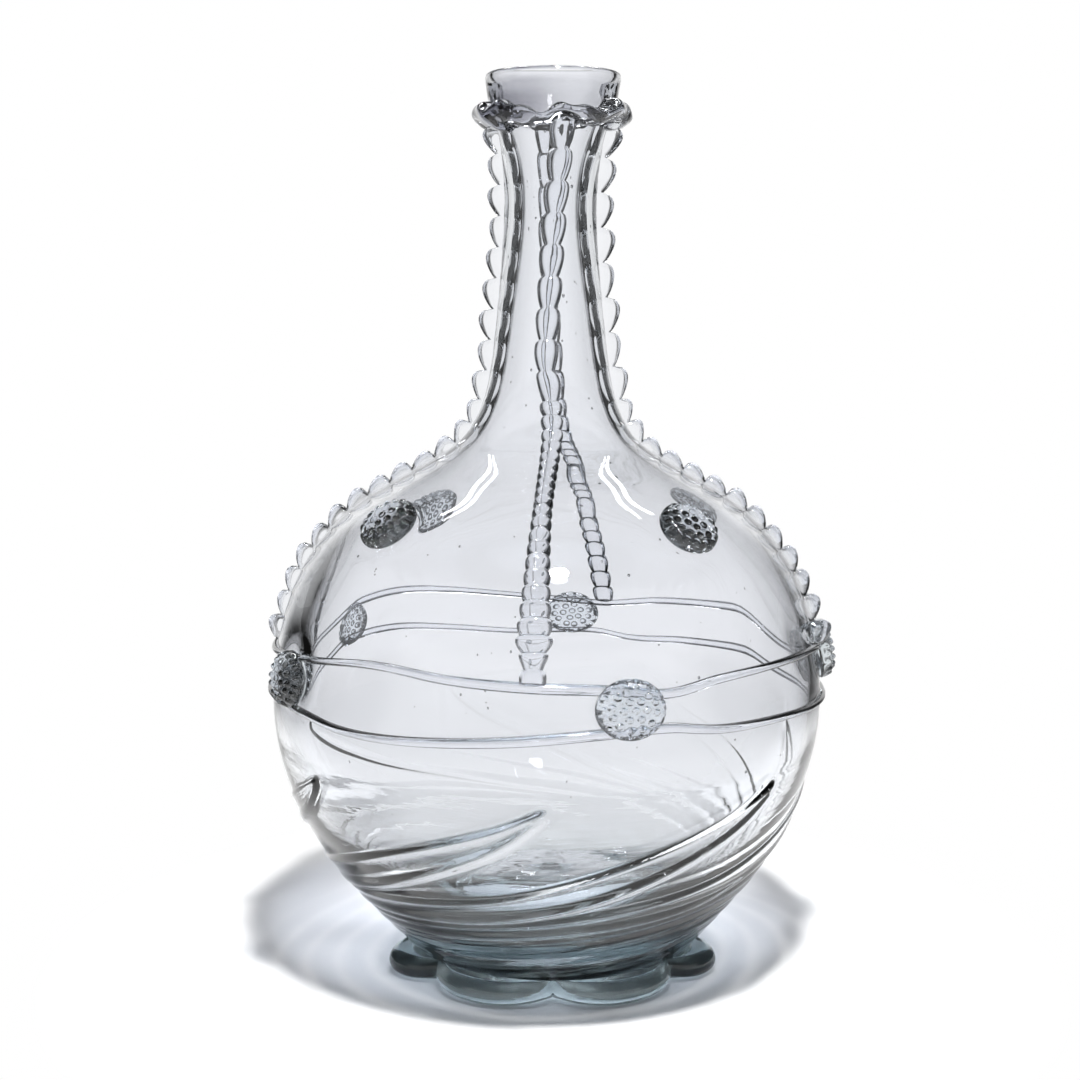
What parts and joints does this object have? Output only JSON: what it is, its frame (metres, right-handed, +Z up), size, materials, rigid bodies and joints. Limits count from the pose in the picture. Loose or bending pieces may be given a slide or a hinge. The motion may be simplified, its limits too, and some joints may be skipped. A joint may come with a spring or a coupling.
{
  "type": "carafe",
  "caption": "Hand-blown round glass carafe on a pinched foot, with a long neck, flared lip, pinched vertical trails, belly threads and raspberry prunts.",
  "frame": {"origin": "middle of the foot's resting plane, on the axis of the round body", "axes": "+Z up along the body's axis to the mouth, -Y towards the pictured front, +X to its right"},
  "size_m": [0.1568, 0.1581, 0.24],
  "materials": {
    "clear_glass": "fire-polished clear glass with a faint grey tint",
    "gather_glass": "fire-polished clear glass with a faint grey tint",
    "foot_glass": "thick clear glass that reads grey-green",
    "trail_glass": "fire-polished clear glass",
    "prunt_glass": "stamped clear glass"
  },
  "bodies": {
    "root": {"body_shell": "clear_glass", "base_gather": "gather_glass", "foot_ring": "foot_glass", "neck_collar": "trail_glass", "thread_upper": "trail_glass", "thread_lower": "trail_glass", "trail_front": "trail_glass", "trail_right": "trail_glass", "trail_back": "trail_glass", "trail_left": "trail_glass", "prunt_upper_front_left": "prunt_glass", "prunt_upper_front_right": "prunt_glass", "prunt_upper_back_right": "prunt_glass", "prunt_upper_back_left": "prunt_glass", "prunt_lower_front": "prunt_glass", "prunt_lower_right": "prunt_glass", "prunt_lower_back": "prunt_glass", "prunt_lower_back_left": "prunt_glass", "prunt_lower_left": "prunt_glass"}
  },
  "joints": []
}
